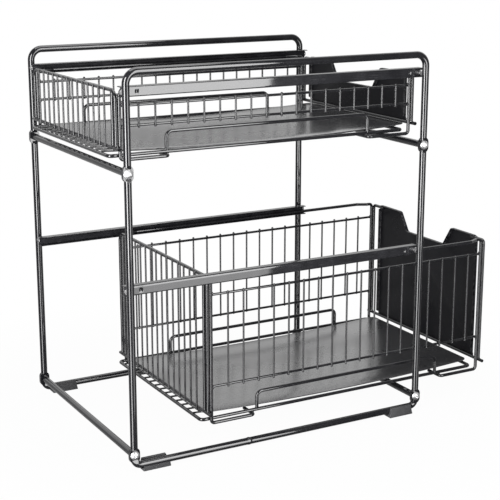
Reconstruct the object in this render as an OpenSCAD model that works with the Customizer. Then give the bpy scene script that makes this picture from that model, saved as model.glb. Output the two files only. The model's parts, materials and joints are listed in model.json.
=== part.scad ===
// Gap storage shelf: a narrow steel stand with two wire baskets that slide out to the front.
// Origin: middle of the stand's footprint on the floor. +Z is up and -Y is the front.
// Sizes are in millimetres.

/* [Stand] */
// Distance between the leg axes, left to right
frame_w = 277; // [250:1:320]
// Distance between the leg axes, front to back
frame_d = 372; // [320:1:440]
// Height of the top bars' axes above the floor
frame_h = 431; // [380:1:480]
// Diameter of the stand's steel bar
bar_d = 8; // [7:0.5:9]
// Bend radius of the top corners, on the bar's axis
top_bend = 13; // [9:1:18]
// Bend radius of the bottom corners, on the bar's axis
bottom_bend = 8; // [6:0.5:8]

/* [Cross bars] */
// Height of the lower cross bars' axes
lower_bar_z = 19; // [18:0.5:19]
// Drop from the top bars' axes to the upper cross bars' axes
upper_bar_drop = 104; // [101:1:130]
// Width of the pressed flats on the legs
flat_w = 11.7; // [11:0.1:13]
// Height of the pressed flats on the legs
flat_h = 18; // [17:0.5:22]
// Thickness left where a leg is pressed flat
flat_t = 4.5; // [3.5:0.1:5.5]
// Length of the slope from round bar to flat
flat_slope = 4; // [2:0.5:5]
// Thread diameter of the screws that hold the cross bars
screw_d = 5; // [4:0.5:5]
// Length of a screw under its head
screw_len = 18; // [14:1:30]
// Diameter of a screw's domed head
screw_head_d = 10.5; // [9:0.1:11]
// Height of a screw's domed head
screw_head_h = 3.2; // [2.4:0.1:4]
// Width across the corners of the screw's hexagon socket
socket_d = 4; // [3:0.1:4.5]
// Depth of the screw's socket
socket_depth = 1.8; // [1:0.1:2]

/* [Rails] */
// Height of the lower rails' middle
lower_rail_z = 200; // [190:1:205]
// Drop from the top bars' axes to the upper rails' middle
upper_rail_drop = 21.5; // [19:0.5:26]
// Height of a rail's channel section
rail_h = 11; // [9:0.5:12]
// Width of a rail's flanges, web included
rail_flange = 8.5; // [8:0.5:11]
// Thickness of a rail's sheet
rail_t = 1; // [0.8:0.1:1.4]
// How far a rail runs past the leg axes
rail_over = 2; // [1:0.5:6]
// Length of the studs between a leg and a rail
stud_len = 4.5; // [3:0.5:7]
// Diameter of those studs
stud_d = 6.5; // [5:0.5:8]
// Diameter of the small dimple near each end of a rail
dimple_d = 3; // [2:0.5:4]
// Depth of that dimple
dimple_depth = 0.6; // [0.3:0.1:0.7]
// Distance of that dimple from the rail's end
dimple_inset = 18; // [10:1:30]

/* [Feet] */
// Length of a foot along the bottom bar
foot_len = 33; // [18:1:40]
// Height of a foot's tall wall
foot_h = 12; // [10:0.5:14]
// Height of a foot's low lip
foot_lip = 5.4; // [4.5:0.1:6.5]
// Thickness of a foot under the bar
foot_base = 3; // [2:0.5:5]
// Thickness of a foot's tall wall at its top
foot_wall = 2.6; // [2:0.1:4]
// How far a foot's tall wall spreads at the floor
foot_flare = 2; // [0:0.5:3]
// Gap between a foot and the leg's bottom bend
foot_inset = 0.5; // [0.5:0.5:40]

/* [Baskets] */
// Diameter of the baskets' frame wire
wire_d = 4; // [3.5:0.1:4.4]
// Diameter of the long wires in the side grilles
rod_d = 3; // [2.6:0.1:3.4]
// Diameter of the thin wires of the grilles and floors
thin_d = 2.2; // [1.8:0.1:2.6]
// How far thin wires run past the axes of the wires that carry them
thin_over = 1; // [0.5:0.1:1.2]
// How far the floor's thin wires stick out at the front
floor_stub = 4; // [3:0.5:6]
// Diameter of the welded beads at the ends of the side grilles' thin wires
bead_d = 2.8; // [2.7:0.1:3.4]
// How much shorter the upper basket is between its posts than the stand is deep
upper_short = 9; // [0:1:40]
// How much longer the lower basket is between its posts than the stand is deep
lower_extra = 4; // [-30:1:18]
// Depth of the upper basket, from its runner down to its hooks
upper_depth = 69; // [62:1:71]
// Depth of the lower basket, from its runner down to its hooks
lower_depth = 169; // [120:1:170]
// Drop from the upper basket's runner to its second wire
upper_second_drop = 13; // [11:0.5:18]
// Drop from the lower basket's runner to its second wire
lower_second_drop = 18.5; // [12:0.5:40]
// Rise from the upper basket's hooks to its third wire
upper_third_rise = 35; // [30:0.5:40]
// Rise from the lower basket's hooks to its third wire
lower_third_rise = 43.5; // [30:0.5:60]
// How far a closed basket's back posts stand in front of the back leg axes
back_inset = 1; // [0:0.5:10]
// How far the lower basket stands pulled out
lower_pull = 103; // [0:1:180]
// Bend radius of the baskets' frame wire
wire_bend = 4; // [3:0.5:5]
// Bend radius of the back and front frames' top corners
rim_bend = 10; // [6:1:14]
// Thin wires in each side grille
side_wires = 18; // [10:1:22]
// Distance from a corner post to the nearest thin wire of the side grille
side_margin = 20.5; // [12:0.5:30]
// Thin wires in the back grille and in the floor
back_wires = 14; // [8:2:16]
// Distance between the outer and inner posts of the back grille
post_gap = 8; // [5:0.5:20]
// Rise of the back rim above the runner
rim_rise = 2.5; // [0:0.5:4]
// How far the bottom rods stick out past the corner posts
rod_stub = 8; // [4:0.5:10]
// Length of the hooks that run along the bottom from each corner post
hook_len = 55; // [30:1:60]
// How far the hooks turn in under the floor
hook_turn = 24; // [12:1:40]
// How far the floor reaches behind the corner posts
floor_back = 11; // [9:0.5:16]
// How far the floor's front wire stays behind the front posts
floor_front = 6; // [4:0.5:20]
// Bend radius of the floor's corners
floor_bend = 5; // [4:0.5:10]
// How far the floor's thin wires and the tray sag in the middle
floor_sag = 5; // [2:0.5:6]
// Gap between a tray's seat and the bottom rods that pass above it
rod_lift = 0.9; // [0.9:0.1:4]
// Length of the side guards on the floor
guard_len = 254; // [150:1:254]
// Height of the side guards above the floor's side wires
guard_rise = 21.5; // [14:0.5:26]
// Bend radius of the side guards' corners
guard_bend = 7; // [4:0.5:9]

/* [Trays] */
// Thickness of a tray
tray_t = 1.2; // [0.8:0.1:2]
// Gap between a tray and the floor's side wires
tray_side_gap = 7.5; // [1:0.5:12]
// Gap between a tray's ends and the bottom rods, with the tray in the middle
tray_end_gap = 0.3; // [0.2:0.1:6]
// How far the upper tray is pushed to the front, under the front's bottom rod
upper_tray_push = 4; // [0:0.5:4]
// How far the lower tray is pushed to the back, under the back's bottom rod
lower_tray_push = 4; // [0:0.5:4]
// Corner radius of a tray
tray_corner = 8; // [3:1:20]

/* [Front panels] */
// Thickness of a front panel's sheet
sheet_t = 1; // [0.7:0.1:1.5]
// Distance from the post axes to the edges of the front panel
panel_gap = 13.5; // [5:0.5:15]
// Height of the panel's bottom edge above the bottom rod's axis
panel_lift = 0.3; // [-1.5:0.1:2.5]
// Depth of the hem that is folded back along the top and the sides
hem = 5; // [4.2:0.1:8]
// Width of the hand notch at the top
notch_top_w = 110; // [90:1:140]
// Width of the hand notch at its bottom
notch_bottom_w = 78; // [50:1:88]
// Depth of the hand notch
notch_depth = 24.5; // [15:0.5:28]
// Radius of the panel's top corners
panel_corner = 6; // [3:0.5:8]
// Radius of the notch's corners
notch_corner = 5; // [3:0.5:6]
// How far the frame's top ends reach in along the panel's top
top_reach = 24; // [16:1:28]

/* [Clearances] */
// Gap between a runner and the flange it slides on
runner_clear = 0.3; // [0.2:0.1:0.6]
// Gap between a corner post and a rail's flanges
post_clear = 0.5; // [0.3:0.1:1]
// Gap between wires and sheets that rest on each other
seat_gap = 0.1; // [0.05:0.05:0.2]
// Gap between neighbouring wires of two basket panels
wire_gap = 0.3; // [0.2:0.1:0.6]
// Gap around a screw in its tapped hole
thread_gap = 0.1; // [0.05:0.05:0.2]
// Gap around a screw in the leg's hole
hole_gap = 0.25; // [0.2:0.05:0.5]
// How deep welded wires sink into each other
weld_sink = 0.5; // [0.4:0.1:0.7]

/* [Hidden] */
$fn = 48;

LEFT = -1;
RIGHT = 1;
FRONT = -1;
BACK = 1;
paint = [0.09, 0.09, 0.10];
satin_black = [0.16, 0.16, 0.17];
foot_grey = [0.24, 0.24, 0.25];
screw_silver = [0.78, 0.78, 0.80];
// Extra length of a cutting solid past the face that it cuts
cut_over = 1;
// How much thicker a wire is at a slight kink
kink_swell = 0.2;
// Straight lengths in a sagging wire
sag_parts = 4;

leg_x = frame_w / 2;
leg_y = frame_d / 2;
upper_bar_z = frame_h - upper_bar_drop;
upper_rail_z = frame_h - upper_rail_drop;
upper_len = frame_d - upper_short;
lower_len = frame_d + lower_extra;
bottom_z = foot_base + bar_d / 2;
flat_straight = flat_h / 2 - flat_slope;

web_x = leg_x - bar_d / 2 - stud_len;
flange_x = web_x - rail_flange;
rail_len = frame_d + 2 * rail_over;
runner_x = (web_x - rail_t + flange_x) / 2;
post_x = flange_x - post_clear - wire_d / 2;
floor_x = post_x - wire_d - wire_gap;
// The inner posts and the thin wires share the back grille's width in equal steps
inner_post = post_x - post_gap;
back_pitch = 2 * inner_post / (back_wires + 1);
// The panels at the back and front stand one wire and a gap outside the corner posts
panel_off = wire_d + wire_gap;
// The runner swings in to the post over this length
runner_swing = 2 * (runner_x - post_x);
runner_lead = 2 * wire_bend;
basket_back = leg_y - back_inset;

// Height of a runner's axis in the rail whose middle is at rail_z
function runner_height(rail_z) = rail_z - rail_h / 2 + rail_t + runner_clear + wire_d / 2;

// A basket is held as [back post, length, runner height, hook height, second wire, third wire]
function basket(back, length, runner, depth, second_drop, third_rise) =
    [back, length, runner, runner - depth, runner - second_drop, runner - depth + third_rise];
upper = basket(basket_back, upper_len, runner_height(upper_rail_z), upper_depth,
               upper_second_drop, upper_third_rise);
lower = basket(basket_back - lower_pull, lower_len, runner_height(lower_rail_z), lower_depth,
               lower_second_drop, lower_third_rise);

function back_y(b) = b[0];
function basket_len(b) = b[1];
function front_y(b) = back_y(b) - basket_len(b);
function middle_y(b) = back_y(b) - basket_len(b) / 2;
function runner_z(b) = b[2];
function hook_z(b) = b[3];
function second_z(b) = b[4];
function third_z(b) = b[5];
function floor_z(b) = hook_z(b) + wire_d + seat_gap;
// The thin floor wires are welded on top of the floor's frame and sag between its back and front
function floor_wire_z(b) = floor_z(b) + wire_d / 2 + thin_d / 2 - weld_sink;
function floor_back_y(b) = back_y(b) + floor_back;
function floor_front_y(b) = front_y(b) + floor_front;
function floor_span(b) = floor_back_y(b) - floor_front_y(b);
// Places on a thin floor wire's axis in Y and Z, from its back weld to its front weld
function sag_place(b, i) =
    let (share = i / sag_parts)
    [floor_back_y(b) - share * floor_span(b), floor_wire_z(b) - 4 * floor_sag * share * (1 - share)];
// The place at y on the straight line through two places
function line_place(p, q, y) = [y, p.y + (q.y - p.y) * (y - p.x) / (q.x - p.x)];
// A thin floor wire's axis, cut or lengthened to run from one y to another
function sag_line(b, back, front) = concat(
    [line_place(sag_place(b, 0), sag_place(b, 1), back)],
    [for (i = [1:sag_parts - 1]) sag_place(b, i)],
    [line_place(sag_place(b, sag_parts - 1), sag_place(b, sag_parts), front)]
);
// Rise from a thin floor wire's axis to the tray that lies on it
tray_seat = (thin_d + kink_swell) / 2 + seat_gap;
// The bottom rods of the back and front panels pass above the ends of the tray
function bottom_rod_z(b) = floor_wire_z(b) + tray_seat + tray_t + rod_lift + wire_d / 2;
function rim_z(b) = runner_z(b) + rim_rise;
function back_panel_y(b) = back_y(b) + panel_off;
function front_frame_y(b) = front_y(b) - panel_off;
function front_top_z(b) = runner_z(b) - wire_d / 2;
function panel_top(b) = front_top_z(b) + wire_d / 2 + seat_gap + sheet_t;

// Unit vector along v
function unit(v) = v / norm(v);
// Angle between two unit vectors
function turn(a, b) = acos(min(1, max(-1, a * b)));

// Turns that point the +Z axis along v
function aim(v) = [0, acos(v.z / norm(v)), atan2(v.y, v.x)];

// A straight round bar from one point to another
module rod(from, to, d) {
    translate(from) rotate(aim(to - from)) cylinder(d = d, h = norm(to - from));
}

// One round bend: starts at a point, turns from direction a to direction b
module elbow(start, a, b, d, bend) {
    normal = unit(cross(a, b));
    side = cross(normal, a);
    centre = start + side * bend;
    multmatrix([
        [-side.x, a.x, normal.x, centre.x],
        [-side.y, a.y, normal.y, centre.y],
        [-side.z, a.z, normal.z, centre.z],
        [0, 0, 0, 1]
    ])
        rotate_extrude(angle = turn(a, b)) translate([bend, 0]) circle(d = d);
}

// A bent wire along points: straight lengths with a round bend at each inner point.
// Where the bend radius is 0 the wire has a slight kink, rounded by a ball with its poles inside the wire.
module wire(points, d, bends) {
    last = len(points) - 1;
    way = [for (i = [0:last - 1]) unit(points[i + 1] - points[i])];
    trim = [for (i = [0:last])
        i == 0 || i == last ? 0 : bends[i] * tan(turn(way[i - 1], way[i]) / 2)];
    for (i = [0:last - 1])
        rod(points[i] + way[i] * trim[i], points[i + 1] - way[i] * trim[i + 1], d);
    for (i = [1:last - 1])
        if (bends[i] == 0)
            translate(points[i]) rotate(aim(way[i - 1] + way[i])) sphere(d = d + kink_swell);
        else
            elbow(points[i] - way[i - 1] * trim[i], way[i - 1], way[i], d, bends[i]);
}

// The same bend radius for every point of a wire
function same_bend(points, bend) = [for (p = points) bend];

// A rectangle of wire in the plane of its four corners, closed at the middle of its first side
module wire_loop(corners, d, bends) {
    middle = (corners[0] + corners[1]) / 2;
    points = [middle, corners[1], corners[2], corners[3], corners[0], middle];
    wire(points, d, [0, bends[1], bends[2], bends[3], bends[0], 0]);
}

// Both faces of a leg pressed in at one height, with a slope at each end
module press_cut(y, z) {
    deep = bar_d / 2 + cut_over;
    gain = flat_slope * (deep - flat_t / 2) / (bar_d / 2 - flat_t / 2);
    for (s = [-1, 1])
        translate([0, y + flat_w, z])
            rotate([90, 0, 0])
                linear_extrude(2 * flat_w)
                    polygon([
                        [s * flat_t / 2, -flat_straight], [s * flat_t / 2, flat_straight],
                        [s * deep, flat_straight + gain], [s * deep, -flat_straight - gain]
                    ]);
}

// The widened flat itself: a plate with round ends
module flat_plate(y, z) {
    straight = flat_h - flat_w;
    translate([-flat_t / 2, y, z])
        rotate([90, 0, 90])
            linear_extrude(flat_t) {
                square([flat_w, straight], center = true);
                for (s = [-1, 1])
                    translate([0, s * straight / 2]) circle(d = flat_w);
            }
}

// One side of the stand: a closed loop of bar, pressed flat where the cross bars meet it
module side_frame(side) {
    color(paint)
        translate([side * leg_x, 0, 0])
            difference() {
                union() {
                    difference() {
                        wire_loop([
                            [0, -leg_y, frame_h], [0, leg_y, frame_h],
                            [0, leg_y, bottom_z], [0, -leg_y, bottom_z]
                        ], bar_d, [top_bend, top_bend, bottom_bend, bottom_bend]);
                        for (end = [FRONT, BACK], z = [lower_bar_z, upper_bar_z])
                            press_cut(end * leg_y, z);
                    }
                    for (end = [FRONT, BACK], z = [lower_bar_z, upper_bar_z])
                        flat_plate(end * leg_y, z);
                }
                for (end = [FRONT, BACK], z = [lower_bar_z, upper_bar_z])
                    rod([-bar_d, end * leg_y, z], [bar_d, end * leg_y, z], screw_d + 2 * hole_gap);
            }
}
module left_side_frame() { side_frame(LEFT); }
module right_side_frame() { side_frame(RIGHT); }

// A cross bar between the two sides, with a tapped hole in each end
module cross_bar(end, z) {
    half = leg_x - flat_t / 2;
    tapped = screw_len - flat_t + cut_over;
    color(paint)
        difference() {
            rod([-half, end * leg_y, z], [half, end * leg_y, z], bar_d);
            for (s = [LEFT, RIGHT])
                rod([s * (half + cut_over), end * leg_y, z], [s * (half - tapped), end * leg_y, z],
                    screw_d + 2 * thread_gap);
        }
}
module back_upper_cross_bar() { cross_bar(BACK, upper_bar_z); }
module front_upper_cross_bar() { cross_bar(FRONT, upper_bar_z); }
module back_lower_cross_bar() { cross_bar(BACK, lower_bar_z); }
module front_lower_cross_bar() { cross_bar(FRONT, lower_bar_z); }

// A screw along +Z: domed head above its seat at z = 0, shank below it
module screw() {
    dome = (screw_head_d * screw_head_d / 4 + screw_head_h * screw_head_h) / (2 * screw_head_h);
    difference() {
        union() {
            intersection() {
                translate([0, 0, screw_head_h - dome]) sphere(r = dome);
                translate([-dome, -dome, 0]) cube(2 * dome);
            }
            translate([0, 0, -screw_len]) cylinder(d = screw_d, h = screw_len + cut_over);
        }
        translate([0, 0, screw_head_h - socket_depth])
            cylinder(d = socket_d, h = socket_depth + cut_over, $fn = 6);
    }
}
module cross_bar_screws() {
    color(screw_silver)
        for (s = [LEFT, RIGHT], end = [FRONT, BACK], z = [lower_bar_z, upper_bar_z])
            translate([s * (leg_x + flat_t / 2), end * leg_y, z])
                rotate([0, s * 90, 0]) screw();
}

// A channel rail, open to the inside, with a small dimple near each end of its outer face
module rail(side, z) {
    color(paint)
        difference() {
            translate([side * web_x, 0, z])
                mirror([side == RIGHT ? 1 : 0, 0, 0])
                    rotate([90, 0, 0])
                        translate([0, 0, -rail_len / 2])
                            linear_extrude(rail_len)
                                difference() {
                                    translate([0, -rail_h / 2]) square([rail_flange, rail_h]);
                                    translate([rail_t, rail_t - rail_h / 2])
                                        square([rail_flange, rail_h - 2 * rail_t]);
                                }
            for (end = [FRONT, BACK]) {
                dimple_y = end * (rail_len / 2 - dimple_inset);
                rod([side * (web_x + cut_over), dimple_y, z], [side * (web_x - dimple_depth), dimple_y, z],
                    dimple_d);
            }
        }
}
module upper_left_rail() { rail(LEFT, upper_rail_z); }
module upper_right_rail() { rail(RIGHT, upper_rail_z); }
module lower_left_rail() { rail(LEFT, lower_rail_z); }
module lower_right_rail() { rail(RIGHT, lower_rail_z); }

// The short studs that carry the rails on the legs, hollowed to the leg's round
module rail_studs() {
    color(screw_silver)
        for (s = [LEFT, RIGHT], end = [FRONT, BACK], z = [lower_rail_z, upper_rail_z])
            difference() {
                rod([s * web_x, end * leg_y, z], [s * leg_x, end * leg_y, z], stud_d);
                rod([s * leg_x, end * leg_y, z - stud_d], [s * leg_x, end * leg_y, z + stud_d],
                    bar_d + 2 * seat_gap);
            }
}

// A plastic foot clipped under the bottom bar: a base with one tall wall
module foot(side, end, wall_side) {
    groove = bar_d / 2 + seat_gap;
    wall_in = groove - 2 * seat_gap;
    foot_y = leg_y - bottom_bend - foot_inset - foot_len / 2;
    color(foot_grey)
        translate([side * leg_x, end * foot_y + foot_len / 2, 0])
            mirror([wall_side == RIGHT ? 0 : 1, 0, 0])
                rotate([90, 0, 0])
                    linear_extrude(foot_len)
                        difference() {
                            polygon([
                                [-groove - foot_wall / 2, 0], [wall_in + foot_wall + foot_flare, 0],
                                [wall_in + foot_wall, foot_h], [wall_in, foot_h],
                                [wall_in, foot_lip], [-groove - foot_wall / 2, foot_lip]
                            ]);
                            translate([0, bottom_z]) circle(r = groove);
                        }
}
module back_left_foot() { foot(LEFT, BACK, RIGHT); }
module back_right_foot() { foot(RIGHT, BACK, LEFT); }
module front_left_foot() { foot(LEFT, FRONT, LEFT); }
module front_right_foot() { foot(RIGHT, FRONT, RIGHT); }

// Half of a basket's side wire: from the runner's middle, in to the corner post at one end,
// down it, and along the bottom to the hook that turns in under the floor
module half_side_wire(b, side, end) {
    post = side * post_x;
    run = side * runner_x;
    y = end == BACK ? back_y(b) : front_y(b);
    lead_y = y - end * runner_lead;
    hook_y = y - end * hook_len;
    points = [
        [run, middle_y(b), runner_z(b)],
        [run, lead_y - end * runner_swing, runner_z(b)],
        [post, lead_y, runner_z(b)],
        [post, y, runner_z(b)],
        [post, y, hook_z(b)],
        [post, hook_y, hook_z(b)],
        [side * (post_x - hook_turn), hook_y, hook_z(b)]
    ];
    wire(points, wire_d, [0, 0, 0, wire_bend, wire_bend, wire_bend, 0]);
}

// The bent wire at one side of a basket: runner, two corner posts and two hooks in one piece
module side_wire(b, side) {
    color(paint)
        union() {
            for (end = [FRONT, BACK])
                half_side_wire(b, side, end);
        }
}
module upper_left_side_wire() { side_wire(upper, LEFT); }
module upper_right_side_wire() { side_wire(upper, RIGHT); }
module lower_left_side_wire() { side_wire(lower, LEFT); }
module lower_right_side_wire() { side_wire(lower, RIGHT); }

// The grille between two corner posts: two long wires and a row of thin wires with welded beads
module grille(b, side) {
    post = side * post_x;
    thin_x = side * (post_x + rod_d / 2 + thin_d / 2 - weld_sink);
    rod_end = wire_d / 2 + seat_gap;
    pitch = (basket_len(b) - 2 * side_margin) / (side_wires - 1);
    low = third_z(b) - rod_d / 2;
    high = second_z(b) + rod_d / 2;
    color(paint)
        union() {
            for (z = [second_z(b), third_z(b)])
                rod([post, back_y(b) - rod_end, z], [post, front_y(b) + rod_end, z], rod_d);
            for (i = [0:side_wires - 1]) {
                y = back_y(b) - side_margin - i * pitch;
                rod([thin_x, y, low], [thin_x, y, high], thin_d);
                for (z = [low, high])
                    translate([thin_x, y, z]) sphere(d = bead_d);
            }
        }
}
module upper_left_grille() { grille(upper, LEFT); }
module upper_right_grille() { grille(upper, RIGHT); }
module lower_left_grille() { grille(lower, LEFT); }
module lower_right_grille() { grille(lower, RIGHT); }

// Places of the thin wires across the basket
function thin_places() = [for (i = [0:back_wires - 1]) (i - (back_wires - 1) / 2) * back_pitch];

// The back grille: an arch of frame wire, two inner posts, thin wires and a bottom rod
module back_panel(b) {
    y = back_panel_y(b);
    low = bottom_rod_z(b);
    arch = [[-post_x, y, low], [-post_x, y, rim_z(b)], [post_x, y, rim_z(b)], [post_x, y, low]];
    thin_y = y + wire_d / 2 + thin_d / 2 - weld_sink;
    color(paint)
        union() {
            wire(arch, wire_d, same_bend(arch, rim_bend));
            rod([-post_x - rod_stub, y, low], [post_x + rod_stub, y, low], wire_d);
            for (s = [LEFT, RIGHT])
                rod([s * inner_post, y, low], [s * inner_post, y, rim_z(b)], wire_d);
            for (x = thin_places())
                rod([x, thin_y, low - thin_over], [x, thin_y, rim_z(b) + thin_over], thin_d);
        }
}
module upper_back_panel() { back_panel(upper); }
module lower_back_panel() { back_panel(lower); }

// The floor: a loop of frame wire with thin wires welded on it from back to front
module floor_grid(b) {
    back = floor_back_y(b);
    front = floor_front_y(b);
    z = floor_z(b);
    sag = sag_line(b, back + thin_over, front - floor_stub);
    color(paint)
        union() {
            wire_loop([[-floor_x, back, z], [floor_x, back, z], [floor_x, front, z], [-floor_x, front, z]],
                      wire_d, [floor_bend, floor_bend, floor_bend, floor_bend]);
            for (x = thin_places())
                wire([for (p = sag) [x, p.x, p.y]], thin_d, same_bend(sag, 0));
        }
}
module upper_floor_grid() { floor_grid(upper); }
module lower_floor_grid() { floor_grid(lower); }

// A low guard rail that stands on a side wire of the floor
module guard(b, side) {
    x = side * floor_x;
    z = floor_z(b);
    ends = [middle_y(b) + guard_len / 2, middle_y(b) - guard_len / 2];
    points = [[x, ends[0], z], [x, ends[0], z + guard_rise], [x, ends[1], z + guard_rise], [x, ends[1], z]];
    color(paint)
        difference() {
            wire(points, wire_d, same_bend(points, guard_bend));
            rod([x, ends[0] + wire_d, z], [x, ends[1] - wire_d, z], wire_d + 2 * seat_gap);
        }
}
module upper_left_guard() { guard(upper, LEFT); }
module upper_right_guard() { guard(upper, RIGHT); }
module lower_left_guard() { guard(lower, LEFT); }
module lower_right_guard() { guard(lower, RIGHT); }

// The loose tray: a sheet with round corners that lies on the thin floor wires and sags with them
module tray(b, push) {
    half = floor_x - wire_d / 2 - tray_side_gap;
    back = back_panel_y(b) - wire_d / 2 - tray_end_gap + push;
    front = front_frame_y(b) + wire_d / 2 + tray_end_gap + push;
    length = back - front;
    sag = sag_line(b, back, front);
    under = [for (p = sag) p + [0, tray_seat]];
    over = [for (i = [sag_parts:-1:0]) sag[i] + [0, tray_seat + tray_t]];
    color(satin_black)
        intersection() {
            translate([-half, 0, 0])
                rotate([90, 0, 90]) linear_extrude(2 * half) polygon(concat(under, over));
            translate([0, (back + front) / 2, floor_wire_z(b) - 2 * floor_sag])
                linear_extrude(4 * floor_sag) {
                    square([2 * (half - tray_corner), length], center = true);
                    square([2 * half, length - 2 * tray_corner], center = true);
                    for (sx = [LEFT, RIGHT], sy = [FRONT, BACK])
                        translate([sx * (half - tray_corner), sy * (length / 2 - tray_corner)])
                            circle(r = tray_corner);
                }
        }
}
module upper_tray() { tray(upper, FRONT * upper_tray_push); }
module lower_tray() { tray(lower, BACK * lower_tray_push); }

// The front frame: two posts that turn in along the panel's top, and a bottom rod
module front_frame(b) {
    y = front_frame_y(b);
    low = bottom_rod_z(b);
    top = front_top_z(b);
    color(paint)
        union() {
            for (s = [LEFT, RIGHT]) {
                points = [[s * post_x, y, low], [s * post_x, y, top], [s * (post_x - top_reach), y, top]];
                wire(points, wire_d, same_bend(points, wire_bend));
            }
            rod([-post_x - rod_stub, y, low], [post_x + rod_stub, y, low], wire_d);
        }
}
module upper_front_frame() { front_frame(upper); }
module lower_front_frame() { front_frame(lower); }

// Inward normal of the edge from a to b of an outline that runs anticlockwise
function inward(a, b) = [-(b - a).y, (b - a).x] / norm(b - a);

// Corners of an outline, each [x, y, radius], moved in by a distance
function inset(corners, by) = [
    for (i = [0:len(corners) - 1])
        let (n = len(corners), c = corners[i], p = [c.x, c.y])
        let (a = corners[(i + n - 1) % n], b = corners[(i + 1) % n])
        let (na = inward([a.x, a.y], p), nb = inward(p, [b.x, b.y]))
        let (moved = p + by * (na + nb) / (1 + na * nb), hollow = cross(na, nb) < 0)
        [moved.x, moved.y, c.z == 0 ? 0 : c.z + (hollow ? by : -by)]
];

// Points of an outline with each corner rounded by its own radius
function rounded(corners, steps = 8) = [
    for (i = [0:len(corners) - 1])
        let (n = len(corners), c = corners[i], p = [c.x, c.y], r = c.z)
        let (a = corners[(i + n - 1) % n], b = corners[(i + 1) % n])
        let (na = inward([a.x, a.y], p), nb = inward(p, [b.x, b.y]))
        let (bulge = cross(na, nb) < 0 ? -1 : 1)
        let (centre = p + bulge * r * (na + nb) / (1 + na * nb))
        let (first = atan2(-bulge * na.y, -bulge * na.x), swing = bulge * turn(na, nb))
        for (k = [0:r == 0 ? 0 : steps])
            r == 0 ? p : centre + r * [cos(first + swing * k / steps), sin(first + swing * k / steps)]
];

// Outline of a front panel in X and Z: two shoulders with the hand notch between them
function panel_corners(b) =
    let (half = post_x - panel_gap, low = bottom_rod_z(b) + panel_lift, top = panel_top(b))
    let (dip = top - notch_depth)
    [
        [-half, low, 0], [half, low, 0], [half, top, panel_corner],
        [notch_top_w / 2, top, notch_corner], [notch_bottom_w / 2, dip, notch_corner],
        [-notch_bottom_w / 2, dip, notch_corner], [-notch_top_w / 2, top, notch_corner],
        [-half, top, panel_corner]
    ];

// A front panel: a sheet in front of the frame with its top and sides folded back
module front_panel(b) {
    corners = panel_corners(b);
    half = post_x - panel_gap;
    inner_y = front_frame_y(b) - wire_d / 2 - seat_gap;
    hem_low = bottom_rod_z(b) + wire_d / 2 + wire_gap;
    pass = wire_d + 2 * wire_gap;
    color(satin_black)
        difference() {
            union() {
                translate([0, inner_y, 0])
                    rotate([90, 0, 0]) linear_extrude(sheet_t) polygon(rounded(corners));
                difference() {
                    translate([0, inner_y + hem - sheet_t, 0])
                        rotate([90, 0, 0])
                            linear_extrude(hem - sheet_t / 2)
                                difference() {
                                    polygon(rounded(corners));
                                    polygon(rounded(inset(corners, sheet_t)));
                                }
                    translate([-half - cut_over, inner_y, hem_low - 2 * hem])
                        cube([2 * (half + cut_over), 2 * hem, 2 * hem]);
                }
            }
            for (s = [LEFT, RIGHT])
                translate([s * half - panel_corner, inner_y, front_top_z(b) - pass / 2])
                    cube([2 * panel_corner, 2 * hem, pass / 2 + wire_d / 2 + seat_gap]);
        }
}
module upper_front_panel() { front_panel(upper); }
module lower_front_panel() { front_panel(lower); }

left_side_frame();
right_side_frame();
back_upper_cross_bar();
front_upper_cross_bar();
back_lower_cross_bar();
front_lower_cross_bar();
cross_bar_screws();
upper_left_rail();
upper_right_rail();
lower_left_rail();
lower_right_rail();
rail_studs();
back_left_foot();
back_right_foot();
front_left_foot();
front_right_foot();
upper_left_side_wire();
upper_right_side_wire();
upper_left_grille();
upper_right_grille();
upper_back_panel();
upper_floor_grid();
upper_left_guard();
upper_right_guard();
upper_tray();
upper_front_frame();
upper_front_panel();
lower_left_side_wire();
lower_right_side_wire();
lower_left_grille();
lower_right_grille();
lower_back_panel();
lower_floor_grid();
lower_left_guard();
lower_right_guard();
lower_tray();
lower_front_frame();
lower_front_panel();
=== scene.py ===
"""Looks of a gap storage shelf: a black bar stand with two wire baskets that slide out on rails.

The bar, wire, screw and stud nodes keep their solids and get paint and steel finishes. The front panels,
trays, rails and feet are replaced by surfaces with folded and eased edges, and the welds between the wires
are added.
"""

import json
import math

import bmesh
import bpy
import numpy as np
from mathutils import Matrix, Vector


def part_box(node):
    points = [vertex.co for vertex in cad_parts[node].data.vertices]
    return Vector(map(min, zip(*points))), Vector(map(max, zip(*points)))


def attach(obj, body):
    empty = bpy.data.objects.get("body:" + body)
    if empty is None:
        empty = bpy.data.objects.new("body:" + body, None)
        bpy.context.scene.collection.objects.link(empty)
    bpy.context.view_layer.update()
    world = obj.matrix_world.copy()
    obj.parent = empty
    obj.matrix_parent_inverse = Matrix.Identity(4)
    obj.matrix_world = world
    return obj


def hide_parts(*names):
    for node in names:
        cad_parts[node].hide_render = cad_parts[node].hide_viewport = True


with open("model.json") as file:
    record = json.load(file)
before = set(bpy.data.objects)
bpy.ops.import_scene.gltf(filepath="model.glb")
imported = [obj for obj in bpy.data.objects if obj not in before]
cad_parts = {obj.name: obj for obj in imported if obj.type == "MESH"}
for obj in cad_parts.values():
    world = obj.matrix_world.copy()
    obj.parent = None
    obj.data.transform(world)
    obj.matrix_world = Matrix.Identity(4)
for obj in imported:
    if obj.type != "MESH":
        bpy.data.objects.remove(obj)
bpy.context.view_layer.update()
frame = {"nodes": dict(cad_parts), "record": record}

MM = 0.001
LEVELS = ("upper", "lower")
SIDES = (("left", -1), ("right", 1))

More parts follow.
